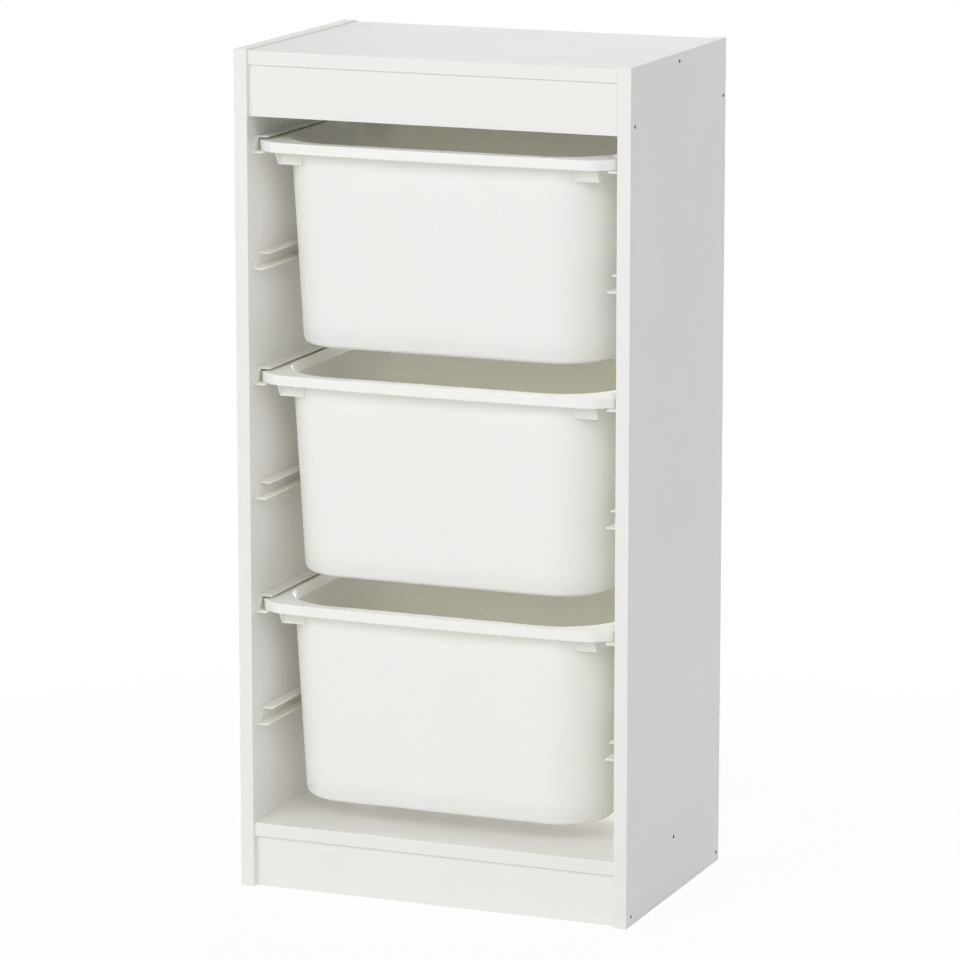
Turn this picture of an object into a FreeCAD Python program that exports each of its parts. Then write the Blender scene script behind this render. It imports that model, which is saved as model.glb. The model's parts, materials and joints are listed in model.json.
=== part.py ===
import FreeCAD, Part
import math
import os

os.makedirs("parts", exist_ok=True)

# Children's storage frame with three pull-out bins, in millimetres.
# X is the width (positive to the right), the open front looks along -Y, Z is up.
# The origin is on the floor, at the middle of the frame's footprint.

# Carcass
frame_width = 460.0
frame_depth = 300.0
side_board = 15.5           # thickness of the side panels
top_board = 15.5            # thickness of the top panel
bottom_board = 15.5         # thickness of the bottom panel
rail_board = 15.5           # thickness of the four rails
plinth_height = 57.8        # floor to the underside of the bottom panel
top_rail_height = 56.5      # front and back rail under the top panel
top_drop = 1.5              # side panels stand this much above the top panel
panel_setback = 3.0         # top and bottom panel behind the side panels' front edges
rail_setback = 5.5          # front top rail behind the same edges
plinth_setback = 7.5        # plinth rail behind the same edges
edge_round = 0.8            # rounded edges of the boards' edging

# Bins
bin_height = 228.0
bin_back_gap = 1.0          # closed bin to the plane of the frame's back
bin_left_play = 2.0         # the bins sit this much left of the middle of the runners
bin_gap = 28.6              # free height between one bin's bottom and the next bin's rim
bin_floor_gap = 24.7        # lowest bin's bottom above the bottom panel
bin_wall = 2.5
bin_floor = 2.8
rim_height = 11.4           # skirt that hangs from the rim
rim_plate = 2.2             # thickness of the rim's flat top
rim_skirt = 2.0             # thickness of the skirt
rim_edge_round = 1.0
rim_bow = 6.0               # rise of the long rims' curve at their middle
corner_cut_width = 20.5     # slanted corner of the rim, along X
corner_cut_depth = 16.5     # slanted corner of the rim, along Y
corner_cut_round = 9.0      # where a slanted corner meets a long rim
corner_tip_round = 2.5      # where a slanted corner meets a side rim
wing_width = 10.5           # flat rim between its side edge and the opening
opening_radius = 75.0
ledge_width = 3.0
ledge_depth = 6.5           # rim top to the ledge inside
ledge_fall = 1.0            # height that the ledge slopes down by
body_radius = 60.0          # upright corners of the body
side_draft = 8.5            # the side walls lean in by this, top to bottom
front_draft = 12.0          # the front and back walls lean in by this
body_inset = 7.5            # body wall inside the opening's edge, at the sides
body_front_inset = 2.0      # body wall inside the opening's edge, at front and back
bottom_round = 7.0
lug_plate = 2.0             # thickness of the corner lugs under the rim
lug_face_back = 8.2         # lug's face behind the body's front face
lug_drop = 15.0             # underside of the rim's skirt to the lug's lower edge
lug_clearance = 13.1        # lug's end to a runner, with the bin in the middle
lug_length = 27.9           # along the rim
lug_wall = 1.6              # thickness of the lug's end wall
lug_return = 7.0            # end wall behind the lug's face, all the way down
lug_reach = 16.0            # end wall in front of the lug's face, at its top
lug_proud = 1.4             # raised borders in front of the lug's face
lug_border = 1.4            # width of the borders at the outer end and along the foot
lug_rib = 1.6               # width of the border at the inner end
lug_rib_drop = 2.6          # the inner border runs on this far below the foot
least_round = 0.5           # smallest rounding on the rim's inner outline

# Runners
bin_levels = (1, 3, 5)      # runner pairs that hold a bin, counted from the top
level_count = 6
head_room = 95.4            # top panel's underside to the first runner's seat
channel_height = 13.9       # free height inside a runner
runner_flange = 1.8
runner_web = 2.2
flange_reach = 14.2         # runner's inner edge from the side panel
side_play = 4.8             # rim to a runner's web, with the bin in the middle
seat_clearance = 0.2        # rim above the runner's seat
stop_clearance = 1.5        # closed bin to the runner's rear stop
stop_wall = 2.0
runner_front_gap = 10.0     # runner's lower front end behind the frame's front
runner_mitre = 15.0         # the upper front end lies this much further back
peg_diameter = 7.8
peg_chamfer = 0.8
peg_clearance = 0.2         # hole wider than its peg, on the diameter
peg_spacing = 192.0         # the two pegs of a runner
blind_floor = 5.5           # board left under a blind hole
hole_end_gap = 0.5          # hole deeper than what stands in it

# Fasteners
screw_length = 50.0
screw_diameter = 5.0
screw_head_diameter = 7.0
screw_head_height = 3.0
screw_cone = 1.0
screw_tip = 4.0
screw_recess = 0.3          # head below the side panel's face
socket_width = 4.0          # hexagon socket across its flats
socket_depth = 3.0
hole_clearance = 0.2        # screw and dowel holes, on the diameter
screw_rise = 10.0           # rail screws above the rail's lower edge
dowel_drop = 14.5           # rail dowels below the rail's upper edge
dowel_diameter = 8.0
dowel_in_board = 20.0       # dowel length inside a board's end
dowel_chamfer = 1.0
dowel_spacing = 192.0       # the two dowels at each end of a panel
wall_hole_diameter = 5.0
wall_hole_spacing = 256.0
wall_hole_sink = 10.0       # countersink diameter

cut_over = 1.0              # cutting tools reach this far past a face
near = 1e-4                 # two coordinates closer than this are the same

# Derived sizes
half_width = frame_width / 2
half_depth = frame_depth / 2
inner_half = half_width - side_board
runner_pitch = (bin_height + bin_gap) / 2
bottom_top = plinth_height + bottom_board
rim_top_rise = seat_clearance + rim_height
low_bin_seat = bottom_top + bin_floor_gap + bin_height - rim_top_rise
first_seat = low_bin_seat + (bin_levels[-1] - 1) * runner_pitch
top_under = first_seat + head_room
top_face = top_under + top_board
frame_height = top_face + top_drop
rim_half = inner_half - runner_web - side_play
rim_depth_half = (frame_depth - bin_back_gap) / 2
bin_y = -bin_back_gap / 2
blind_depth = side_board - blind_floor
peg_length = blind_depth - hole_end_gap
dowel_in_side = blind_depth - hole_end_gap


def vec(x, y, z):
    return FreeCAD.Vector(x, y, z)


def box(x0, x1, y0, y1, z0, z1):
    return Part.makeBox(x1 - x0, y1 - y0, z1 - z0, vec(x0, y0, z0))


def rod(diameter, length, start, direction):
    return Part.makeCylinder(diameter / 2, length, start, direction)


def long_edges(shape, direction, coordinate=None, value=None):
    """Straight edges along a direction, all of them or those at one coordinate."""
    found = []
    for edge in shape.Edges:
        if not isinstance(edge.Curve, Part.Line):
            continue
        line = edge.tangentAt(edge.FirstParameter)
        if abs(line.dot(direction)) < 1 - near:
            continue
        if coordinate is None or abs(getattr(edge.CenterOfMass, coordinate) - value) < near:
            found.append(edge)
    return found


def mirror_x(shape):
    return shape.mirror(vec(0, 0, 0), vec(1, 0, 0))


def mirror_y(shape):
    return shape.mirror(vec(0, 0, 0), vec(0, 1, 0))


def export(shape, node):
    shape.exportStep("parts/" + node + ".step")


x_axis = vec(1, 0, 0)
y_axis = vec(0, 1, 0)
z_axis = vec(0, 0, 1)


# Where the boards lie, and where they are screwed and dowelled on one side: (y, z)

def carcass_boards():
    """Each cross board as its box: y from, y to, z from, z to."""
    rail_front = -half_depth + rail_setback
    plinth_front = -half_depth + plinth_setback
    return {
        "top_panel": (-half_depth + panel_setback, half_depth, top_under, top_face),
        "bottom_panel": (-half_depth + panel_setback, half_depth, plinth_height, bottom_top),
        "front_top_rail": (rail_front, rail_front + rail_board,
                           top_under - top_rail_height, top_under),
        "back_top_rail": (half_depth - rail_board, half_depth,
                          top_under - top_rail_height, top_under),
        "plinth_rail": (plinth_front, plinth_front + rail_board, 0, plinth_height),
        "back_bottom_rail": (half_depth - rail_board, half_depth, 0, plinth_height),
    }


def screw_places():
    places = []
    for name, (y0, y1, z0, z1) in carcass_boards().items():
        if name.endswith("panel"):
            places.append((0.0, (z0 + z1) / 2))
        else:
            places.append(((y0 + y1) / 2, z0 + screw_rise))
    return places


def dowel_places():
    places = []
    for name, (y0, y1, z0, z1) in carcass_boards().items():
        if name.endswith("panel"):
            for side in (-1, 1):
                places.append((side * dowel_spacing / 2, (z0 + z1) / 2))
        else:
            places.append(((y0 + y1) / 2, z1 - dowel_drop))
    return places


def runner_seat(level):
    return first_seat - (level - 1) * runner_pitch


def peg_places():
    """Centres of all runner pegs on one side panel: (y, z)."""
    places = []
    for level in range(1, level_count + 1):
        for side in (-1, 1):
            places.append((side * peg_spacing / 2, runner_seat(level) + channel_height / 2))
    return places


# Carcass pieces

def side_panel():
    """Right side panel with its blind holes for pegs and dowels and its screw holes."""
    panel = box(inner_half, half_width, -half_depth, half_depth, 0, frame_height)
    edges = long_edges(panel, z_axis) + long_edges(panel, y_axis, "z", frame_height)
    panel = panel.makeFillet(edge_round, edges)
    holes = []
    for y, z in peg_places():
        holes.append(rod(peg_diameter + peg_clearance, blind_depth, vec(inner_half, y, z), x_axis))
    for y, z in dowel_places():
        holes.append(rod(dowel_diameter + hole_clearance, blind_depth, vec(inner_half, y, z), x_axis))
    head_depth = screw_recess + screw_head_height + screw_cone
    for y, z in screw_places():
        holes.append(rod(screw_diameter + hole_clearance, side_board, vec(inner_half, y, z), x_axis))
        holes.append(rod(screw_head_diameter + hole_clearance, head_depth,
                         vec(half_width - head_depth, y, z), x_axis))
    return panel.cut(Part.makeCompound(holes))


def cross_board(name):
    """One board between the side panels, bored at both ends for its screws and dowels."""
    y0, y1, z0, z1 = carcass_boards()[name]
    board = box(-inner_half, inner_half, y0, y1, z0, z1)
    board = board.makeFillet(edge_round, long_edges(board, x_axis, "y", y0))
    holes = []
    screw_depth = screw_length + screw_recess - side_board + hole_end_gap
    dowel_depth = dowel_in_board + hole_end_gap
    for diameter, depth, places in (
            (screw_diameter + hole_clearance, screw_depth, screw_places()),
            (dowel_diameter + hole_clearance, dowel_depth, dowel_places())):
        inside = [(y, z) for y, z in places if y0 < y < y1 and z0 < z < z1]
        for y, z in inside:
            holes.append(rod(diameter, depth, vec(-inner_half, y, z), x_axis))
            holes.append(rod(diameter, depth, vec(inner_half, y, z), -x_axis))
    return board.cut(Part.makeCompound(holes))


def wall_hole_tools():
    """Two countersunk holes through the back top rail, for fixing the frame to a wall."""
    tools = []
    z = top_under - top_rail_height / 2
    front = half_depth - rail_board
    sink = (wall_hole_sink - wall_hole_diameter) / 2
    for side in (-1, 1):
        start = vec(side * wall_hole_spacing / 2, front, z)
        tools.append(rod(wall_hole_diameter, rail_board, start, y_axis))
        tools.append(Part.makeCone(wall_hole_sink / 2, wall_hole_diameter / 2, sink, start, y_axis))
    return Part.makeCompound(tools)


# Fastener pieces

def screw(y, z):
    """Connecting screw of the right side, its head sunk in the side panel's face."""
    head_x = half_width - screw_recess
    radius = screw_diameter / 2
    head_radius = screw_head_diameter / 2
    cone_x = head_x - screw_head_height
    tip_x = head_x - screw_length
    profile = Part.makePolygon([
        vec(head_x, y, z),
        vec(head_x, y, z + head_radius),
        vec(cone_x, y, z + head_radius),
        vec(cone_x - screw_cone, y, z + radius),
        vec(tip_x + screw_tip, y, z + radius),
        vec(tip_x, y, z),
        vec(head_x, y, z)])
    body = Part.Face(profile).revolve(vec(head_x, y, z), x_axis, 360)
    corner = socket_width / 2 / math.cos(math.pi / 6)
    angles = [i * math.pi / 3 for i in range(7)]
    points = [vec(head_x, y + corner * math.cos(a), z + corner * math.sin(a)) for a in angles]
    socket = Part.Face(Part.makePolygon(points)).extrude(vec(-socket_depth, 0, 0))
    return body.cut(socket)


def dowel(y, z):
    """Wooden dowel of the right side, half in the side panel and half in the board's end."""
    length = dowel_in_side + dowel_in_board
    pin = rod(dowel_diameter, length, vec(inner_half - dowel_in_board, y, z), x_axis)
    rims = [edge for edge in pin.Edges if isinstance(edge.Curve, Part.Circle)]
    return pin.makeChamfer(dowel_chamfer, rims)


# Runner pieces

def runner(level):
    """Right runner: a channel open towards the bins, with a mitred front and a rear stop."""
    seat = runner_seat(level)
    low = seat - runner_flange
    high = seat + channel_height + runner_flange
    inner = inner_half - flange_reach
    front = -half_depth + runner_front_gap
    stop_face = bin_y + rim_corner_reach(inner) + stop_clearance
    back = stop_face + stop_wall
    side_view = Part.makePolygon([
        vec(inner, front, low),
        vec(inner, back, low),
        vec(inner, back, high),
        vec(inner, front + runner_mitre, high),
        vec(inner, front, low)])
    block = Part.Face(side_view).extrude(vec(flange_reach, 0, 0))
    hollow = box(inner - cut_over, inner_half - runner_web, front - cut_over, stop_face,
                 seat, seat + channel_height)
    channel = block.cut(hollow)
    pegs = []
    for side in (-1, 1):
        start = vec(inner_half, side * peg_spacing / 2, seat + channel_height / 2)
        peg = rod(peg_diameter, peg_length, start, x_axis)
        tip_x = inner_half + peg_length
        tip = [edge for edge in peg.Edges
               if isinstance(edge.Curve, Part.Circle) and abs(edge.CenterOfMass.x - tip_x) < near]
        pegs.append(peg.makeChamfer(peg_chamfer, tip))
    return channel.fuse(pegs).removeSplitter()


# Bin pieces, drawn about the middle of the opening with the rim's top at z = 0

def rim_corner_reach(x):
    """How far back the rim reaches at a distance x from the bin's middle, in its corner."""
    straight = rim_depth_half - rim_bow - corner_cut_depth
    inward = rim_half + bin_left_play - x
    return straight + max(0.0, inward) * corner_cut_depth / corner_cut_width


def rim_prism(inset, z_low, z_high):
    """Block of the rim's outline moved in by inset: bowed long rims, slanted corners."""
    slant = math.atan2(corner_cut_depth, corner_cut_width)
    hx = rim_half - inset
    hy = rim_depth_half - rim_bow - inset
    cut_x = rim_half - corner_cut_width - inset * math.tan(slant / 2)
    cut_y = (rim_depth_half - rim_bow - corner_cut_depth
             - inset * math.tan((math.pi / 2 - slant) / 2))
    bow_y = rim_depth_half - inset
    corners = [(-cut_x, -hy), (cut_x, -hy), (hx, -cut_y), (hx, cut_y),
               (cut_x, hy), (-cut_x, hy), (-hx, cut_y), (-hx, -cut_y)]
    points = [vec(x, y, z_low) for x, y in corners]
    middles = {0: vec(0, -bow_y, z_low), 4: vec(0, bow_y, z_low)}
    edges = []
    for i, start in enumerate(points):
        end = points[(i + 1) % len(points)]
        if i in middles:
            edges.append(Part.Arc(start, middles[i], end).toShape())
        else:
            edges.append(Part.LineSegment(start, end).toShape())
    prism = Part.Face(Part.Wire(edges)).extrude(vec(0, 0, z_high - z_low))
    for coordinate, distance, radius in (("y", hy, corner_cut_round - inset),
                                         ("x", hx, corner_tip_round - inset)):
        upright = [edge for edge in long_edges(prism, z_axis)
                   if abs(abs(getattr(edge.CenterOfMass, coordinate)) - distance) < near]
        prism = prism.makeFillet(max(radius, least_round), upright)
    return prism


def rounded_outline(hx, hy, radius, z):
    """Closed rounded rectangle at height z, with its four corners as arcs."""
    points = []
    for sx, sy, first in ((1, -1, -90), (1, 1, 0), (-1, 1, 90), (-1, -1, 180)):
        cx, cy = sx * (hx - radius), sy * (hy - radius)
        for step in (0, 45, 90):
            a = math.radians(first + step)
            points.append(vec(cx + radius * math.cos(a), cy + radius * math.sin(a), z))
    edges = []
    for i in range(4):
        a, b, c = points[3 * i:3 * i + 3]
        edges.append(Part.Arc(a, b, c).toShape())
        edges.append(Part.LineSegment(c, points[(3 * i + 3) % 12]).toShape())
    return Part.Wire(edges)


def loft(sections):
    return Part.makeLoft([rounded_outline(*section) for section in sections], True, True)


def rounded_bottom(shape, radius):
    """Fillet round the lowest face of a lofted block."""
    low = shape.BoundBox.ZMin
    edges = [edge for edge in shape.Edges if edge.BoundBox.ZMax < low + near]
    return shape.makeFillet(radius, edges)


def prism_along_x(points, start, length):
    """Extrude a closed outline of (y, z) points along X."""
    corners = [vec(start, y, z) for y, z in points]
    return Part.Face(Part.makePolygon(corners + corners[:1])).extrude(vec(length, 0, 0))


def corner_lugs():
    """The four lugs under the rim: a plate with a raised border and a slanted end wall."""
    body_y = rim_depth_half - rim_bow - body_front_inset - wing_width
    face_y = lug_face_back - body_y
    border_y = face_y - lug_proud
    plate_back = face_y + lug_plate
    wall_back = face_y + lug_return
    low = -rim_height - lug_drop
    top = -rim_plate
    end_x = inner_half - flange_reach - lug_clearance
    start_x = end_x - lug_length
    plate = box(start_x, end_x, border_y, plate_back, low, top)
    recess = box(start_x + lug_rib, end_x - lug_border, border_y - cut_over, face_y,
                 low + lug_border, top)
    rib_tail = prism_along_x([(border_y, low), (plate_back, low), (border_y, low - lug_rib_drop)],
                             start_x, lug_rib)
    end_wall = prism_along_x([(face_y - lug_reach, top), (border_y, low), (wall_back, low),
                              (wall_back, top)], end_x - lug_wall, lug_wall)
    right = plate.cut(recess).fuse([rib_tail, end_wall]).removeSplitter().Solids[0]
    front = [right, mirror_x(right)]
    return front + [mirror_y(lug) for lug in front]


def bin_shape():
    opening_x = rim_half - wing_width
    opening_y = rim_depth_half - rim_bow - wing_width
    body_x = opening_x - body_inset
    body_y = opening_y - body_front_inset
    foot_x = body_x - side_draft
    foot_y = body_y - front_draft
    band_low = -(ledge_depth + ledge_fall + bin_wall)
    body = loft([(body_x, body_y, body_radius, band_low),
                 (foot_x, foot_y, body_radius, -bin_height)])
    body = rounded_bottom(body, bottom_round)
    inner_radius = body_radius - bin_wall
    band = loft([(opening_x + bin_wall, opening_y + bin_wall, opening_radius + bin_wall, 0),
                 (body_x + ledge_width, body_y + ledge_width, body_radius + ledge_width,
                  -ledge_depth),
                 (body_x + ledge_width, body_y + ledge_width, body_radius + ledge_width,
                  band_low)])
    rim = rim_prism(0, -rim_height, 0)
    top_edges = [edge for edge in rim.Edges
                 if abs(edge.BoundBox.ZMin) < near and abs(edge.BoundBox.ZMax) < near]
    rim = rim.makeFillet(rim_edge_round, top_edges)
    rim = rim.cut(rim_prism(rim_skirt, -rim_height - cut_over, -rim_plate))
    ledge_x = body_x - bin_wall + ledge_width
    ledge_y = body_y - bin_wall + ledge_width
    cavity_top = loft([(opening_x, opening_y, opening_radius, 0),
                       (ledge_x, ledge_y, inner_radius + ledge_width, -ledge_depth),
                       (body_x - bin_wall, body_y - bin_wall, inner_radius,
                        -ledge_depth - ledge_fall)])
    cavity = loft([(body_x - bin_wall, body_y - bin_wall, inner_radius,
                    -ledge_depth - ledge_fall),
                   (foot_x - bin_wall, foot_y - bin_wall, inner_radius,
                    -bin_height + bin_floor)])
    cavity = rounded_bottom(cavity, bottom_round - bin_wall)
    shape = body.fuse([band, rim] + corner_lugs())
    shape = shape.cut(cavity_top).cut(cavity)
    return shape.removeSplitter()


# Write every node

def write_carcass():
    panel = side_panel()
    export(panel, "right_side_panel")
    export(mirror_x(panel), "left_side_panel")
    for name in carcass_boards():
        board = cross_board(name)
        if name == "back_top_rail":
            board = board.cut(wall_hole_tools())
        export(board, name)


def write_fasteners():
    for group, maker, places in (("frame_screws", screw, screw_places()),
                                 ("frame_dowels", dowel, dowel_places())):
        right = Part.makeCompound([maker(y, z) for y, z in places])
        export(right, "right_" + group)
        export(mirror_x(right), "left_" + group)


def write_runners():
    for level in range(1, level_count + 1):
        right = runner(level)
        export(right, "right_runner_%d" % level)
        export(mirror_x(right), "left_runner_%d" % level)


def write_bins():
    shape = bin_shape()
    for name, level in zip(("upper_bin", "middle_bin", "lower_bin"), bin_levels):
        placed = shape.copy()
        placed.translate(vec(-bin_left_play, bin_y, runner_seat(level) + rim_top_rise))
        export(placed, name)


write_carcass()
write_fasteners()
write_runners()
write_bins()
print("frame height", round(frame_height, 2), "first seat", round(first_seat, 2),
      "pitch", runner_pitch)
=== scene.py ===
import json
import math

import bmesh
import bpy
import numpy as np
from mathutils import Matrix, Vector


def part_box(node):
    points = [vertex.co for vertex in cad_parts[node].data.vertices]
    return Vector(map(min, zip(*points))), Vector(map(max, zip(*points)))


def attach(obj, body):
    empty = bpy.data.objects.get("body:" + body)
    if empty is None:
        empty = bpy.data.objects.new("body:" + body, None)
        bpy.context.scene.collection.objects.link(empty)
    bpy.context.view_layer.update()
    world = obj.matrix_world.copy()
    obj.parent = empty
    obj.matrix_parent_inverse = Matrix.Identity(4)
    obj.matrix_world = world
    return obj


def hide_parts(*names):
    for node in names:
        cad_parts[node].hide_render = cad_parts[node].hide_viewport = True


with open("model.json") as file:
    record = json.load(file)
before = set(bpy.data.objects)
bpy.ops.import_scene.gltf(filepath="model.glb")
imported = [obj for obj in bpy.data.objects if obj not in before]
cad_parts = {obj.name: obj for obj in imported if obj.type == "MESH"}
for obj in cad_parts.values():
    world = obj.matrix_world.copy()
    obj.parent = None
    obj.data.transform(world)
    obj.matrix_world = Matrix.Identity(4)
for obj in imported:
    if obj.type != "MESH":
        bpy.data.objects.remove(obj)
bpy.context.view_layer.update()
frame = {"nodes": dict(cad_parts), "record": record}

# Toy storage frame with three pull-out bins: its looks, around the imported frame.
# Bins and runners are new surfaces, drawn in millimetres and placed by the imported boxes.
# Boards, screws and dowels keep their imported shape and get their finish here.

mm = 0.001
scene = bpy.context.scene

# In millimetres: points closer than weld become one, and edges under least are dissolved.
meshPlan = {"weld": 0.002, "least": 0.001, "sharpDegrees": 38.0}


# Skin over a stack of closed rings: point j of ring i joins points j and j + 1 of ring
# i + 1. Each end is a fan round the ring's mean point, or one flat face over the ring.
def skinRings(rings, flatEnds=False):
    rowCount, columnCount = rings.shape[:2]
    column = np.arange(columnCount)
    after = (column + 1) % columnCount
    row = np.arange(rowCount - 1)[:, None] * columnCount
    bands = np.stack([row + column, row + after, row + columnCount + after,
                      row + columnCount + column], axis=-1).reshape(-1, 4)
    last = (rowCount - 1) * columnCount
    points = rings.reshape(-1, 3)
    if flatEnds:
        return points, bands.tolist() + [column[::-1].tolist(), (last + column).tolist()]
    middle = np.full(columnCount, len(points))
    points = np.vstack([points, rings[0].mean(axis=0), rings[-1].mean(axis=0)])
    fans = np.vstack([np.stack([after, column, middle], axis=-1),
                      np.stack([last + column, last + after, middle + 1], axis=-1)])
    return points, bands.tolist() + fans.tolist()


# Doubles merged, slivers dissolved and faces turned outwards.
def cleanMesh(mesh):
    work = bmesh.new()
    work.from_mesh(mesh)
    bmesh.ops.remove_doubles(work, verts=work.verts, dist=meshPlan["weld"] * mm)
    bmesh.ops.dissolve_degenerate(work, edges=work.edges, dist=meshPlan["least"] * mm)
    bmesh.ops.recalc_face_normals(work, faces=work.faces)
    work.to_mesh(mesh)
    work.free()


# One mesh from several shells in millimetres.
def makeMesh(name, shells):
    points, faces, offset = [], [], 0
    for shellPoints, shellFaces in shells:
        points.append(shellPoints)
        faces += [[index + offset for index in face] for face in shellFaces]
        offset += len(shellPoints)
    mesh = bpy.data.meshes.new(name)
    mesh.from_pydata((np.vstack(points) * mm).tolist(), [], faces)
    cleanMesh(mesh)
    return mesh


# Closed shells united into one skin by Boolean modifiers, so that light under the surface
# passes from one to the next.
def joinShells(shells):
    holders = []
    for shell in shells:
        holder = bpy.data.objects.new("work", makeMesh("work", [shell]))
        scene.collection.objects.link(holder)
        holders.append(holder)
    for tool in holders[1:]:
        union = holders[0].modifiers.new("join", "BOOLEAN")
        union.operation, union.solver, union.object = "UNION", "MANIFOLD", tool
    graph = bpy.context.evaluated_depsgraph_get()
    joined = bpy.data.meshes.new_from_object(holders[0].evaluated_get(graph))
    cleanMesh(joined)
    for holder in holders:
        bpy.data.meshes.remove(holder.data)
    return joined


# One object at the origin, tied to its body and given its slot's finish; the imported node it replaces
# is hidden.
def makePiece(name, mesh, body, node, slotName):
    mesh.shade_smooth()
    mesh.set_sharp_from_angle(angle=math.radians(meshPlan["sharpDegrees"]))
    mesh.materials.clear()
    mesh.materials.append(finishes[slotName])
    piece = bpy.data.objects.new(name, mesh)
    scene.collection.objects.link(piece)
    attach(piece, body)
    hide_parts(node)


# A prism along x with rounded edges. Round its (y, z) outline each corner swings from one
# side's normal to the next, and a quarter turn rounds each end. A point is an inner corner
# plus radius * (sin rise) along x and radius * cos rise * (cos turn, sin turn) in y and z.
def softPrism(outline, start, end, radius, steps=3):
    corners = np.array(outline, float)
    side = np.roll(corners, -1, axis=0) - corners
    after = np.stack([side[:, 1], -side[:, 0]], axis=-1)
    after /= np.linalg.norm(side, axis=1, keepdims=True)
    before = np.roll(after, 1, axis=0)
    likeness = (before * after).sum(axis=1)
    inner = corners - radius * (before + after) / (1 + likeness)[:, None]
    share = np.linspace(0, 1, steps + 1)
    swing = np.arccos(np.clip(likeness, -1, 1))
    turn = (np.arctan2(before[:, 1], before[:, 0])[:, None] + swing[:, None] * share).ravel()
    quarter = share * math.pi / 2
    rise = np.concatenate([quarter - math.pi / 2, quarter])[:, None]
    innerX = np.repeat([start + radius, end - radius], steps + 1)[:, None]
    innerY, innerZ = np.repeat(inner, steps + 1, axis=0).T
    rings = np.stack(np.broadcast_arrays(innerX + radius * np.sin(rise),
                                         innerY + radius * np.cos(rise) * np.cos(turn),
                                         innerZ + radius * np.cos(rise) * np.sin(turn)), axis=-1)
    return skinRings(rings)


# Corners of a rectangle, anticlockwise.
def rectangle(lowA, highA, lowB, highB):
    return [(lowA, lowB), (highA, lowB), (highA, highB), (lowA, highB)]


# Rows of a quarter turn as pairs (1 - cos, sin): how far in and how far on, from 0 to 1.
def quarterRows(count):
    angle = np.linspace(0, math.pi / 2, count + 1)
    return list(zip(1 - np.cos(angle), np.sin(angle)))


# A node's output that takes part in Python sums: each sum adds one Math node.
class Signal:
    def __init__(self, nodes, socket):
        self.nodes = nodes
        self.socket = socket

    def sum(self, operation, first, second):
        return self.nodes.add("ShaderNodeMath", {"operation": operation}, [first, second])

    def __add__(self, other):
        return self.sum("ADD", self, other)

    def __radd__(self, other):
        return self.sum("ADD", other, self)

    def __sub__(self, other):
        return self.sum("SUBTRACT", self, other)

    def __rsub__(self, other):
        return self.sum("SUBTRACT", other, self)

    def __mul__(self, other):
        return self.sum("MULTIPLY", self, other)

    def __rmul__(self, other):
        return self.sum("MULTIPLY", other, self)

    def __abs__(self):
        return self.sum("ABSOLUTE", self, 0.0)


# A node tree and the one way to add a node to it: its type, settings, inputs and outputs.
# Without named outputs the first one is handed back.
class Nodes:
    def __init__(self, owner):
        owner.use_nodes = True
        self.tree = owner.node_tree
        self.tree.nodes.clear()

    def add(self, kind, settings, inputs, *outputs):
        node = self.tree.nodes.new(kind)
        for key, value in settings.items():
            setattr(node, key, value)
        for key, value in inputs.items() if isinstance(inputs, dict) else enumerate(inputs):
            if isinstance(value, Signal):
                self.tree.links.new(value.socket, node.inputs[key])
            else:
                node.inputs[key].default_value = value
        if node.outputs:
            signals = [Signal(self, node.outputs[key]) for key in outputs or (0,)]
            return signals if len(signals) > 1 else signals[0]


noiseMiddle = 0.5        # the value that a noise pattern swings round


# One material on the principled shader, its patterns in Object coordinates.
class Finish(Nodes):
    def __init__(self, name):
        self.material = bpy.data.materials.new(name)
        super().__init__(self.material)
        self.place = self.add("ShaderNodeTexCoord", {}, {}, "Object")

    # the place stretched along the axes, for grain and streaks
    def stretch(self, x, y, z):
        return self.add("ShaderNodeMapping", {}, {"Vector": self.place, "Scale": (x, y, z)})

    # the look names the node's inputs, and those it leaves out stay at the node's own values
    def noise(self, look, where=None):
        return self.add("ShaderNodeTexNoise", {"noise_dimensions": "3D"},
                        {"Vector": where or self.place, **look}, "Fac")

    # 6, 7 and 2 are the Mix node's own sockets for two colours and their mix
    def mixColour(self, factor, first, second):
        return self.add("ShaderNodeMix", {"data_type": "RGBA"},
                        {"Factor": factor, 6: first, 7: second}, 2)

    # one colour into another where the pattern rises through the middle of its range
    def blendColour(self, pattern, first, second, spread):
        factor = self.add("ShaderNodeMapRange", {"clamp": True},
                          [pattern, noiseMiddle - spread, noiseMiddle + spread, 0.0, 1.0])
        return self.mixColour(factor, first, second)

    def bump(self, height, depth, strength):
        return self.add("ShaderNodeBump", {},
                        {"Strength": strength, "Distance": depth, "Height": height}, "Normal")

    def surface(self, **inputs):
        named = {key.replace("_", " "): value for key, value in inputs.items()}
        shader = self.add("ShaderNodeBsdfPrincipled", {}, named)
        self.add("ShaderNodeOutputMaterial", {}, [shader])
        return self.material


foilLook = {
    "white": (0.885, 0.877, 0.852, 1), "shade": (0.868, 0.860, 0.833, 1), "spread": 0.15,
    "clouds": {"Scale": 6.0, "Detail": 3.0, "Roughness": 0.55}, "specks": {"Scale": 420.0},
    "peel": {"Scale": 1100.0}, "waves": {"Scale": 16.0, "Detail": 1.0},
    "speckShare": 0.2, "peelHeight": 0.25, "depth": 0.00006, "strength": 0.35,
    "roughness": 0.42, "speckRoughness": 0.10, "cloudRoughness": 0.06, "index": 1.46,
}


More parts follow.
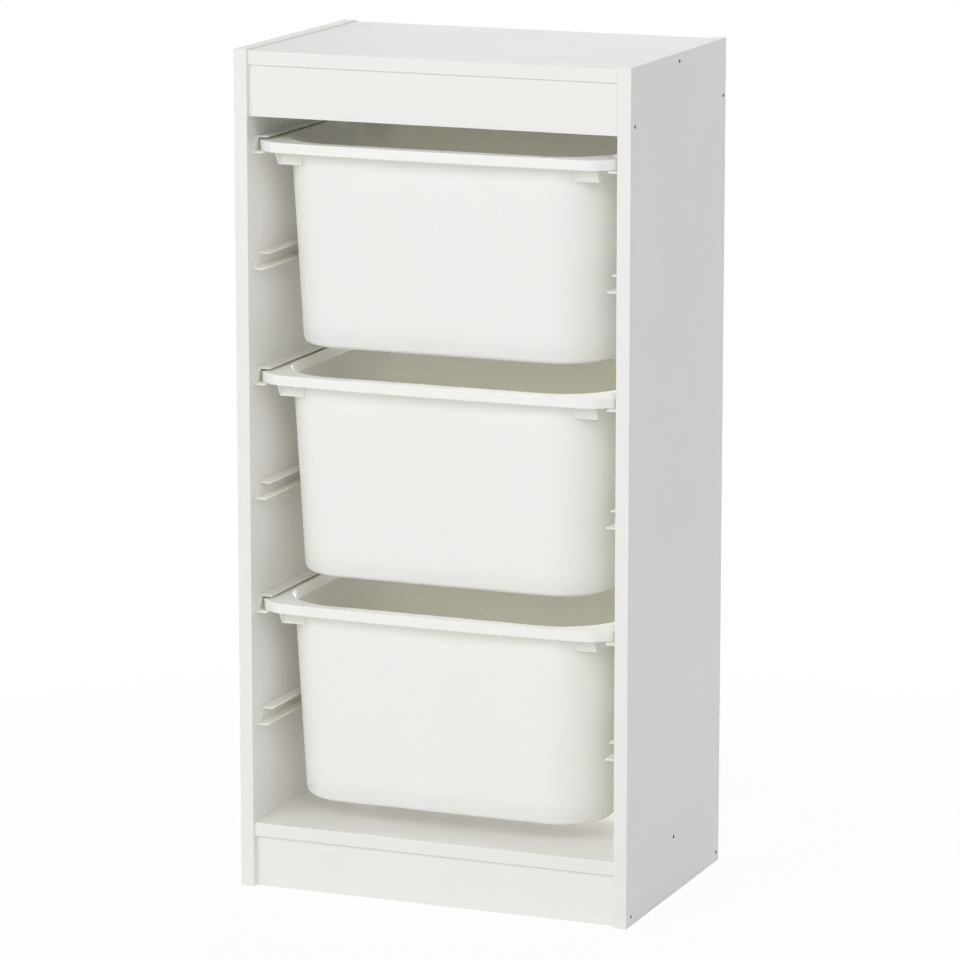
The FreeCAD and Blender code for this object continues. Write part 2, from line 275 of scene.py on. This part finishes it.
# White foil on board: broad faint clouds in the colour, a fine peel and long soft waves.
def foilFinish():
    finish, look = Finish("white_foil"), foilLook
    clouds, specks = finish.noise(look["clouds"]), finish.noise(look["specks"])
    peel, waves = finish.noise(look["peel"]), finish.noise(look["waves"])
    tone = clouds * (1 - look["speckShare"]) + specks * look["speckShare"]
    return finish.surface(
        Base_Color=finish.blendColour(tone, look["white"], look["shade"], look["spread"]),
        Roughness=look["roughness"] + (specks - noiseMiddle) * look["speckRoughness"]
        + (clouds - noiseMiddle) * look["cloudRoughness"],
        Normal=finish.bump(peel * look["peelHeight"] + waves, look["depth"], look["strength"]),
        IOR=look["index"])


binLook = {
    "white": (0.94, 0.937, 0.895, 1), "shade": (0.928, 0.924, 0.878, 1), "spread": 0.15,
    "flow": {"Scale": 9.0, "Distortion": 0.6}, "flowStretch": (1.0, 1.0, 0.35),
    "grain": {"Scale": 1700.0}, "depth": 0.00005, "strength": 0.30,
    "roughness": 0.40, "grainRoughness": 0.12, "flowRoughness": 0.08, "index": 1.49,
    "glow": 0.5, "glowReach": 0.0035, "glowColour": (1.0, 0.95, 0.65),
}


# Moulded white plastic: light passes a little way in, with a satin grain and slow flow
# clouds drawn out along the height.
def binFinish():
    finish, look = Finish("bin_white_plastic"), binLook
    flow = finish.noise(look["flow"], finish.stretch(*look["flowStretch"]))
    grain = finish.noise(look["grain"])
    return finish.surface(
        Base_Color=finish.blendColour(flow, look["white"], look["shade"], look["spread"]),
        Roughness=look["roughness"] + (grain - noiseMiddle) * look["grainRoughness"]
        + (flow - noiseMiddle) * look["flowRoughness"],
        Normal=finish.bump(grain, look["depth"], look["strength"]),
        Subsurface_Weight=look["glow"], Subsurface_Scale=look["glowReach"],
        Subsurface_Radius=look["glowColour"], IOR=look["index"])


runnerLook = {
    "milk": (0.87, 0.86, 0.82, 1), "warm": (0.84, 0.828, 0.775, 1), "spread": 0.2,
    "streaks": {"Scale": 30.0, "Detail": 3.0, "Roughness": 0.6}, "streakStretch": (12.0, 0.6, 12.0),
    "grain": {"Scale": 1500.0}, "grainHeight": 0.3, "depth": 0.00004, "strength": 0.30,
    "roughness": 0.34, "streakRoughness": 0.14, "grainRoughness": 0.08, "index": 1.49,
    "glow": 0.5, "glowReach": 0.003, "glowColour": (1.0, 0.93, 0.75),
}


# Milky runner plastic: draw lines along the runner and a fine grain.
def runnerFinish():
    finish, look = Finish("runner_milk_plastic"), runnerLook
    streaks = finish.noise(look["streaks"], finish.stretch(*look["streakStretch"]))
    grain = finish.noise(look["grain"])
    return finish.surface(
        Base_Color=finish.blendColour(streaks, look["milk"], look["warm"], look["spread"]),
        Roughness=look["roughness"] + (streaks - noiseMiddle) * look["streakRoughness"]
        + (grain - noiseMiddle) * look["grainRoughness"],
        Normal=finish.bump(streaks + grain * look["grainHeight"], look["depth"], look["strength"]),
        Subsurface_Weight=look["glow"], Subsurface_Scale=look["glowReach"],
        Subsurface_Radius=look["glowColour"], IOR=look["index"])


screwLook = {
    "bright": (0.84, 0.84, 0.84, 1), "dull": (0.70, 0.70, 0.71, 1), "spread": 0.3,
    # the heads' faces lie at this distance from the frame's middle plane, in metres; socket is painted
    # shade, a near-black colour for all that lies deeper
    "headFace": 0.2297, "faceTolerance": 0.0001, "socket": (0.012, 0.012, 0.013, 1),
    "patches": {"Scale": 900.0, "Detail": 3.0},
    "rings": {"Scale": 2500.0, "Detail": 1.0}, "ringStretch": (1.0, 0.15, 0.15),
    "depth": 0.00002, "strength": 0.5, "roughness": 0.28, "patchRoughness": 0.2,
}


# Zinc-plated screw: turned rings across the head and a patchy dull plating. All that lies deeper than
# the head's face, as its socket does, is painted nearly black as painted shade for the shade in the
# hole.
def screwFinish():
    finish, look = Finish("zinc_screw"), screwLook
    patches = finish.noise(look["patches"])
    rings = finish.noise(look["rings"], finish.stretch(*look["ringStretch"]))
    plating = finish.blendColour(patches, look["dull"], look["bright"], look["spread"])
    x = finish.add("ShaderNodeSeparateXYZ", {}, [finish.place], "X")
    onFace = finish.add("ShaderNodeMath", {"operation": "COMPARE"},
                        [abs(x), look["headFace"], look["faceTolerance"]])
    return finish.surface(
        # painted shade: off the head's face the colour is the near-black socket colour, standing for
        # the shade in the hole
        Base_Color=finish.mixColour(onFace, look["socket"], plating),
        Roughness=look["roughness"] + patches * look["patchRoughness"],
        Normal=finish.bump(rings, look["depth"], look["strength"]),
        Metallic=1.0)


dowelLook = {
    "pale": (0.62, 0.44, 0.26, 1), "dark": (0.44, 0.28, 0.15, 1), "spread": 0.15,
    "grain": {"Scale": 260.0, "Detail": 4.0, "Roughness": 0.6, "Distortion": 0.4},
    "grainStretch": (0.08, 1.0, 1.0), "flecks": {"Scale": 900.0, "Detail": 1.0},
    "fleckStretch": (0.25, 1.0, 1.0), "fleckShare": 0.3, "depth": 0.00008, "strength": 0.4,
    "roughness": 0.55, "fleckRoughness": 0.15,
}


# Bare beech: grain lines along x with short darker flecks.
def dowelFinish():
    finish, look = Finish("beech_dowel"), dowelLook
    grain = finish.noise(look["grain"], finish.stretch(*look["grainStretch"]))
    flecks = finish.noise(look["flecks"], finish.stretch(*look["fleckStretch"]))
    tone = grain * (1 - look["fleckShare"]) + flecks * look["fleckShare"]
    return finish.surface(
        Base_Color=finish.blendColour(tone, look["pale"], look["dark"], look["spread"]),
        Roughness=look["roughness"] + flecks * look["fleckRoughness"],
        Normal=finish.bump(grain, look["depth"], look["strength"]))


finishes = {
    "white_board": foilFinish(),
    "bin_plastic": binFinish(),
    "runner_plastic": runnerFinish(),
    "screw_steel": screwFinish(),
    "dowel_wood": dowelFinish(),
}
print("finishes made:", len(finishes))

for part in frame["record"]["subparts"]:
    packed = frame["nodes"][part["node"]]
    packed.data.materials.clear()
    packed.data.materials.append(finishes[part["material_slot"]])


binShape = {
    "wing": 10.5, "bow": 6.0, "cutWidth": 20.5, "cutDepth": 16.5, "cutSoft": 2.2, "tipSoft": 0.3,
    "rimHeight": 11.4, "rimPlate": 2.2, "rimRound": 1.0, "skirt": 2.0, "skirtLean": 0.3,
    "openingRadius": 75.0, "ledgeWidth": 3.0, "ledgeDepth": 6.5, "ledgeFall": 1.0,
    "bodyInset": 7.5, "bodyFrontInset": 2.0, "bodyRadius": 60.0,
    "sideDraft": 8.5, "frontDraft": 12.0, "wall": 2.5, "floor": 2.8, "bottomRound": 7.0,
    "edgeRound": 0.5, "seam": 0.6, "mouthRound": 0.5, "funnelCurve": 0.9,
}

# Where the bin's points lie: how many rows each round edge and each wall gets, how far along
# each slanted or flat stretch its rows come, and the columns of a quarter.
binGrid = {
    "bendRows": 6, "edgeRows": 3, "rimRows": 5, "footRows": 8, "wallRows": 9, "bodyRows": 12,
    "floorShares": (0.15, 0.4, 0.65, 0.85, 0.97), "ledgeShares": (0.35, 0.8),
    "funnelShares": (0.05, 0.25, 0.5, 0.75, 0.9), "bandShares": (0.5, 0.8),
    "bottomShares": (0.97, 0.7, 0.4, 0.15), "columns": 104, "fineAngles": 2001,
    # direction of the slanted corner, and each zone of denser columns round it: how much
    # denser, and its width
    "turnAngle": 0.60, "turnZones": ((3.0, 0.07), (1.2, 0.25)),
}


# Directions round the bin. Their spacing goes with 1 / density, where density is 1 plus a
# bell of each zone's strength round the slanted corner; the other quarters mirror the first.
def binDirections():
    grid = binGrid
    angle = np.linspace(0, math.pi / 2, grid["fineAngles"])
    density = 1 + sum(strength * np.exp(-((angle - grid["turnAngle"]) / width) ** 2)
                      for strength, width in grid["turnZones"])
    total = np.concatenate([[0], np.cumsum((density[1:] + density[:-1]) / 2)])
    share = (np.arange(grid["columns"]) + 0.5) / grid["columns"]
    quarter = np.interp(share * total[-1], total, angle)
    return np.concatenate([quarter, math.pi - quarter[::-1], math.pi + quarter,
                           2 * math.pi - quarter[::-1]])


# Reach of a rounded rectangle along each direction: the nearer straight side, or the far
# point on the corner's circle where the ray passes the corner.
def roundedReach(across, along, halfX, halfY, radius):
    cornerX, cornerY = halfX - radius, halfY - radius
    reachX, reachY = halfX / across, halfY / along
    toward = cornerX * across + cornerY * along
    beyond = toward ** 2 - cornerX ** 2 - cornerY ** 2 + radius ** 2
    reachCorner = toward + np.sqrt(np.maximum(beyond, 0))
    return np.where(reachX * along <= cornerY, reachX,
                    np.where(reachY * across <= cornerX, reachY, reachCorner))


# Soft least of two reaches a and b: -soft * log(exp(-a / soft) + exp(-b / soft)).
def softLeast(first, second, soft):
    return -soft * np.logaddexp(-first / soft, -second / soft)


# Reach of the rim: the soft least of the reaches to three lines. The long edge is
# y = longY - bow * x^2, so its reach solves a quadratic; the slanted corner's reach is its
# distance over the direction's part along its normal; the side edge stands at halfX - inset.
def rimReach(across, along, halfX, halfY, inset):
    shape = binShape
    longY = halfY - inset
    bow = shape["bow"] / (halfX - shape["cutWidth"]) ** 2
    normal = np.array([shape["cutDepth"], shape["cutWidth"]])
    normal /= math.hypot(*normal)
    cutDistance = normal @ [halfX, halfY - shape["bow"] - shape["cutDepth"]] - inset
    reachLong = 2 * longY / (along + np.sqrt(along ** 2 + 4 * longY * bow * across ** 2))
    reachCut = cutDistance / (normal[0] * across + normal[1] * along)
    reachFront = softLeast(reachLong, reachCut, shape["cutSoft"])
    return softLeast(reachFront, (halfX - inset) / across, shape["tipSoft"])


# Rows of the bin's closed skin, each with its outline and its z, 0 at the rim's top. They
# start in the middle of the floor inside, climb the wall to the ledge and the mouth, cross
# the rim, drop down its skirt and go under it, and come down the body to the bottom's middle.
def binRows(halfX, halfY, height):
    shape, grid = binShape, binGrid
    wall, radius, soft = shape["wall"], shape["bodyRadius"], shape["edgeRound"]
    seam, plate, edgeRows = shape["seam"], shape["rimPlate"], quarterRows(grid["edgeRows"])
    openX, openY = halfX - shape["wing"], halfY - shape["bow"] - shape["wing"]
    bodyX, bodyY = openX - shape["bodyInset"], openY - shape["bodyFrontInset"]
    rows = []

    # a rounded rectangle (half x, half y, corner radius), made larger by grow
    def plain(outline, grow, z):
        rows.append(("plain", [size + grow for size in outline], z))

    def rim(inset, z):
        rows.append(("rim", inset, z))

    def between(first, second, share):
        return [a + (b - a) * share for a, b in zip(first, second)]

    # the body's outline at a depth below the rim's top
    def body(depth):
        share = depth / height
        return bodyX - shape["sideDraft"] * share, bodyY - shape["frontDraft"] * share, radius

    floorZ, bend = -height + shape["floor"], shape["bottomRound"] - wall
    floorLine = body(-floorZ)
    for share in grid["floorShares"]:
        plain([(size - wall - bend) * share for size in floorLine], 0, floorZ)
    for out, on in quarterRows(grid["bendRows"]):
        plain(floorLine, -wall - bend * (1 - on), floorZ + bend * out)
    ledgeLow = shape["ledgeDepth"] + shape["ledgeFall"]
    for depth in np.linspace(-floorZ - bend - seam, ledgeLow + soft + seam, grid["wallRows"]):
        plain(body(depth), -wall, -depth)
    ledge = body(ledgeLow)
    for out, on in edgeRows:
        plain(ledge, -wall + soft * out, -ledgeLow - soft * (1 - on))
    wide = shape["ledgeWidth"]
    for share in grid["ledgeShares"]:
        plain(ledge, -wall + wide * share, -ledgeLow + shape["ledgeFall"] * share)
    lip, mouth = [size - wall + wide for size in ledge], (openX, openY, shape["openingRadius"])
    for share in grid["funnelShares"]:
        plain(between(lip, mouth, share), 0, -shape["ledgeDepth"] * (1 - share ** shape["funnelCurve"]))
    for out, on in edgeRows:
        plain(mouth, shape["mouthRound"] * out, -shape["mouthRound"] * (1 - on))
    plain(mouth, shape["mouthRound"] + seam, 0)

    edge, low = shape["rimRound"], -shape["rimHeight"]
    rim(edge + seam, 0)
    for out, on in reversed(quarterRows(grid["rimRows"])):
        rim(edge * out, -edge * (1 - on))
    rim(0, -edge - seam)
    rim(shape["skirtLean"] / 2, low / 2)
    rim(shape["skirtLean"], low + soft + seam)
    for out, on in edgeRows:
        rim(shape["skirtLean"] + soft * out, low + soft * (1 - on))
    for out, on in reversed(edgeRows):
        rim(shape["skirt"] - soft * out, low + soft * (1 - on))
    rim(shape["skirt"], low / 2)
    rim(shape["skirt"], -plate - seam)
    rim(shape["skirt"] + seam, -plate)

    band = [size + wall for size in mouth]
    neck = (bodyX + wide, bodyY + wide, radius + wide)
    plain(band, seam, -plate)
    plain(band, 0, -plate - seam)
    for share in grid["bandShares"]:
        plain(between(band, neck, share), 0, -plate - (shape["ledgeDepth"] - plate) * share)
    plain(neck, 0, -shape["ledgeDepth"] - seam)
    bandLow = ledgeLow + wall
    plain(neck, 0, -bandLow + soft)
    plain(neck, -soft, -bandLow)
    plain(body(bandLow), soft, -bandLow)
    plain(body(bandLow), 0, -bandLow - soft)
    bodyEnd = height - shape["bottomRound"] - seam
    for depth in np.linspace(bandLow + soft + seam, bodyEnd, grid["bodyRows"]):
        plain(body(depth), 0, -depth)
    foot, bend = body(height), shape["bottomRound"]
    for out, on in quarterRows(grid["footRows"]):
        plain(foot, -bend * out, -height + bend * (1 - on))
    for share in grid["bottomShares"]:
        plain([(size - bend) * share for size in foot], 0, -height)
    return rows


lugShape = {
    "end": 20.3, "length": 27.9, "faceBack": 8.2, "plate": 2.0, "drop": 15.0,
    "wall": 1.6, "back": 7.0, "reach": 16.0, "proud": 1.4, "foot": 1.4,
    "rib": 1.6, "ribDrop": 2.6, "round": 0.3, "softRound": 0.6,
}


# One lug under the rim's corner: a set-back plate, a raised strip along its foot, a rib
# with a tail at its inner end, and an end wall that slants forward to the skirt.
def lugShells(halfX, halfY):
    shape = lugShape
    faceY = halfY - binShape["bow"] - binShape["wing"] - binShape["bodyFrontInset"] - shape["faceBack"]
    endX, proudY, plateY = halfX - shape["end"], faceY + shape["proud"], faceY - shape["plate"]
    startX = endX - shape["length"]
    low, top = -binShape["rimHeight"] - shape["drop"], -binShape["rimPlate"]
    ribLine = [(plateY, low), (proudY, low - shape["ribDrop"]), (proudY, top), (plateY, top)]
    backY = faceY - shape["back"]
    wallLine = [(backY, low), (proudY, low), (faceY + shape["reach"], top), (backY, top)]
    return [
        softPrism(rectangle(plateY, faceY, low, top), startX, endX, shape["round"]),
        softPrism(rectangle(plateY, proudY, low, low + shape["foot"]), startX, endX, shape["round"]),
        softPrism(ribLine, startX, startX + shape["rib"], shape["softRound"]),
        softPrism(wallLine, endX - shape["wall"], endX, shape["softRound"]),
    ]


# A bin round its rim's middle: its skin of rings (reach * cos turn, reach * sin turn, z),
# joined with four mirrored lugs.
def binMesh(halfX, halfY, height):
    turn = binDirections()
    across, along = np.abs(np.cos(turn)), np.abs(np.sin(turn))
    rings = []
    for kind, size, z in binRows(halfX, halfY, height):
        if kind == "rim":
            reach = rimReach(across, along, halfX, halfY, size)
        else:
            reach = roundedReach(across, along, *size)
        rings.append(np.stack([reach * np.cos(turn), reach * np.sin(turn),
                               np.full_like(turn, z)], axis=-1))
    shells = [skinRings(np.array(rings))]
    for points, faces in lugShells(halfX, halfY):
        shells += [(points * [signX, signY, 1], faces) for signX in (-1, 1) for signY in (-1, 1)]
    return joinShells(shells)


# The three bins are alike: one mesh, moved to each packed bin's rim.
oneBin = None
for binName in ("upper_bin", "middle_bin", "lower_bin"):
    low, high = (np.array(corner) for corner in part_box(binName))
    size = (high - low) / mm
    oneBin = oneBin or binMesh(size[0] / 2, size[1] / 2, size[2])
    moulding = oneBin.copy()
    moulding.transform(Matrix.Translation(((low[0] + high[0]) / 2, (low[1] + high[1]) / 2, high[2])))
    makePiece(binName + "_moulding", moulding, binName, binName, "bin_plastic")
    print(binName, "faces:", len(moulding.polygons))


runnerShape = {
    "flange": 1.8, "web": 2.2, "mitre": 15.0, "stop": 2.0,
    "edge": 0.35, "corner": 0.9, "rootCorner": 0.55, "seamShare": 0.06,
    "pegDiameter": 7.8, "pegReach": 9.5, "pegChamfer": 0.8, "pegSpacing": 192.0,
    "arcSteps": 4, "endRows": 3, "lengthShares": (0.01, 0.33, 0.66, 1.0), "pegSides": 32,
}


# Section of the channel as a closed path (x from the inner edge, z from the lower face),
# drawn in by an inset. Each square corner is an arc: centre - after * radius * cos angle -
# before * radius * sin angle, where before and after point along its two sides.
def runnerSection(reach, height, inset):
    shape = runnerShape
    low, high, inner, outer = inset, height - inset, inset, reach - inset
    webX = reach - shape["web"] + inset
    lowTop, highUnder = shape["flange"] - inset, height - shape["flange"] + inset
    corners = np.array([(inner, low), (outer, low), (outer, high), (inner, high),
                        (inner, highUnder), (webX, highUnder), (webX, lowTop), (inner, lowTop)])
    small, large, root = shape["edge"], shape["corner"], shape["rootCorner"]
    radii = np.array([small, large, large, small, small, root, root, small])[:, None]
    before = np.roll(corners, 1, axis=0) - corners
    after = np.roll(corners, -1, axis=0) - corners
    before /= np.linalg.norm(before, axis=1, keepdims=True)
    after /= np.linalg.norm(after, axis=1, keepdims=True)
    centre = (corners + (before + after) * radii)[:, None, :]
    angle = np.linspace(0, math.pi / 2, shape["arcSteps"] + 1)[None, :, None]
    arcs = (centre - (after * radii)[:, None, :] * np.cos(angle)
            - (before * radii)[:, None, :] * np.sin(angle))
    sideStart, sideEnd = arcs[:, -1], np.roll(arcs[:, 0], -1, axis=0)
    seams = [sideStart + (sideEnd - sideStart) * share
             for share in (shape["seamShare"], 1 - shape["seamShare"])]
    return np.concatenate([arcs, np.stack(seams, axis=1)], axis=1).reshape(-1, 2)


# A peg: circles along x, y = radius * cos turn and z = radius * sin turn, the last one
# drawn in for the chamfer.
def pegShell(x, y, z):
    shape = runnerShape
    radius = shape["pegDiameter"] / 2
    turn = np.arange(shape["pegSides"]) * 2 * math.pi / shape["pegSides"]
    rows = ((x - shape["web"] / 2, radius), (x + shape["pegReach"] - shape["pegChamfer"], radius),
            (x + shape["pegReach"], radius - shape["pegChamfer"]))
    return skinRings(np.array([np.stack([np.full_like(turn, alongX), y + size * np.cos(turn),
                                         z + size * np.sin(turn)], axis=-1) for alongX, size in rows]))


# The channel: the section carried along y, where y = front + (stop's face - front) * share.
# Its front end is cut on a slant, so a point's front grows with its height. The first rings
# round that end off by drawing the section in. The stop and the two pegs are shells of
# their own.
def runnerShells(node, side):
    shape = runnerShape
    low, high = (np.array(corner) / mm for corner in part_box(node))
    base, height = low[2], high[2] - low[2]
    inner = min(abs(low[0]), abs(high[0]))
    outer = max(abs(low[0]), abs(high[0])) - shape["pegReach"]
    stopFace = high[1] - shape["stop"]
    edge = shape["edge"]
    rows = [(edge * out, edge * (1 - on), 0.0) for out, on in reversed(quarterRows(shape["endRows"]))]
    rows += [(0.0, edge, share) for share in shape["lengthShares"]]
    rings = []
    for inset, step, share in rows:
        x, z = runnerSection(outer - inner, height, inset).T
        front = low[1] + shape["mitre"] * z / height + step
        rings.append(np.stack([inner + x, front + (stopFace - front) * share, base + z], axis=-1))
    shells = [skinRings(np.array(rings), True),
              softPrism(rectangle(stopFace, high[1], base, base + height), inner, outer, edge)]
    for place in (-shape["pegSpacing"] / 2, shape["pegSpacing"] / 2):
        shells.append(pegShell(outer, place, base + height / 2))
    return [(points * [side, 1, 1], faces) for points, faces in shells]


runnerLevels = range(1, 7)
for sideName, side in (("left", -1), ("right", 1)):
    for level in runnerLevels:
        name = "%s_runner_%d" % (sideName, level)
        channel = makeMesh(name, runnerShells(name, side))
        makePiece(name + "_channel", channel, "frame", name, "runner_plastic")
print("runners:", 2 * len(runnerLevels))


stageLook = {
    "floorSize": 40.0, "floorDrop": 0.0003, "floorColour": (0.94, 0.94, 0.94, 1),
    "floorWhite": 0.93, "clearing": 0.45, "clearingEnd": 1.35, "white": (1, 1, 1, 1),
    "worldColour": (0.98, 0.985, 1.0, 1), "worldLevel": 0.475, "bounces": 12,
}


# Where the camera, a mirror or a pane looks: 1, and 0 for all other light.
def seenRays(nodes):
    camera, glossy, through = nodes.add("ShaderNodeLightPath", {}, {}, "Is Camera Ray",
                                        "Is Glossy Ray", "Is Transmission Ray")
    return camera + glossy + through


# Floor: for all light a pale matt surface, but for the camera and for mirrors nearly plain
# white, so that only a soft part of the object's shadow stays. The white's share is
# floorWhite within the clearing and grows to 1 at the clearing's end, where no shadow falls.
def makeFloor():
    size, z = stageLook["floorSize"] / 2, -stageLook["floorDrop"]
    mesh = bpy.data.meshes.new("studio_floor")
    mesh.from_pydata([(-size, -size, z), (size, -size, z), (size, size, z), (-size, size, z)],
                     [], [(0, 1, 2, 3)])
    finish = Finish("studio_floor_white")
    matt = finish.add("ShaderNodeBsdfDiffuse", {}, {"Color": stageLook["floorColour"]})
    white = finish.add("ShaderNodeEmission", {}, {"Color": stageLook["white"]})
    distance = finish.add("ShaderNodeVectorMath", {"operation": "LENGTH"}, [finish.place], "Value")
    share = finish.add("ShaderNodeMapRange", {"interpolation_type": "SMOOTHSTEP"},
                       [distance, stageLook["clearing"], stageLook["clearingEnd"],
                        stageLook["floorWhite"], 1.0])
    mixed = finish.add("ShaderNodeMixShader", {}, [seenRays(finish) * share, matt, white])
    finish.add("ShaderNodeOutputMaterial", {}, [mixed])
    mesh.materials.append(finish.material)
    floor = bpy.data.objects.new("studio_floor", mesh)
    scene.collection.objects.link(floor)


# World: white where the camera or a mirror looks, an even pale light for everything else.
def makeWorld():
    scene.world = bpy.data.worlds.new("studio_world")
    nodes = Nodes(scene.world)
    light = nodes.add("ShaderNodeBackground", {}, [stageLook["worldColour"], stageLook["worldLevel"]])
    white = nodes.add("ShaderNodeBackground", {}, {"Color": stageLook["white"]})
    mixed = nodes.add("ShaderNodeMixShader", {}, [seenRays(nodes), light, white])
    nodes.add("ShaderNodeOutputWorld", {}, [mixed])


# Two large soft boxes before the frame, a wide low one behind it and a faint one above.
lampPlan = {
    # name: place, aimed at, width, height, watts
    "left_softbox": ((-3.2, -7.2, 4.1), (0.0, 0.0, 0.5), 4.4, 4.4, 194.0),
    "right_softbox": ((2.8, -6.8, 5.3), (0.0, 0.0, 0.5), 4.0, 4.0, 142.0),
    "back_softbox": ((-0.6, 3.6, 0.7), (0.0, 0.0, 0.5), 2.0, 0.8, 52.0),
    "top_softbox": ((-0.3, 2.3, 3.5), (0.0, 0.0, 0.9), 2.2, 2.2, 15.0),
}


def makeLamps():
    for name, (place, target, width, height, watts) in lampPlan.items():
        lamp = bpy.data.lights.new(name, "AREA")
        lamp.shape = "RECTANGLE"
        lamp.size, lamp.size_y = width, height
        lamp.energy = watts
        holder = bpy.data.objects.new(name, lamp)
        holder.location = place
        holder.rotation_euler = (Vector(target) - Vector(place)).to_track_quat("-Z", "Y").to_euler()
        scene.collection.objects.link(holder)


# Camera: to the right of the open front, higher than the frame's top and tilted down.
cameraPlan = {
    "place": (2.08852, -5.143617, 1.6), "turn": 0.386109, "tilt": 0.203873,
    "lens": 191.117, "sensor": 36.0, "reach": 100.0,
}


def makeCamera():
    data = bpy.data.cameras.new("camera")
    data.sensor_fit = "HORIZONTAL"
    data.sensor_width = cameraPlan["sensor"]
    data.lens = cameraPlan["lens"]
    data.clip_end = cameraPlan["reach"]
    camera = bpy.data.objects.new("camera", data)
    camera.location = cameraPlan["place"]
    camera.rotation_euler = (math.pi / 2 - cameraPlan["tilt"], 0, cameraPlan["turn"])
    scene.collection.objects.link(camera)
    scene.camera = camera


makeFloor()
makeWorld()
makeLamps()
makeCamera()
scene.view_settings.view_transform = "Standard"
scene.cycles.diffuse_bounces = stageLook["bounces"]        # light goes deep between white boards
print("stage ready")
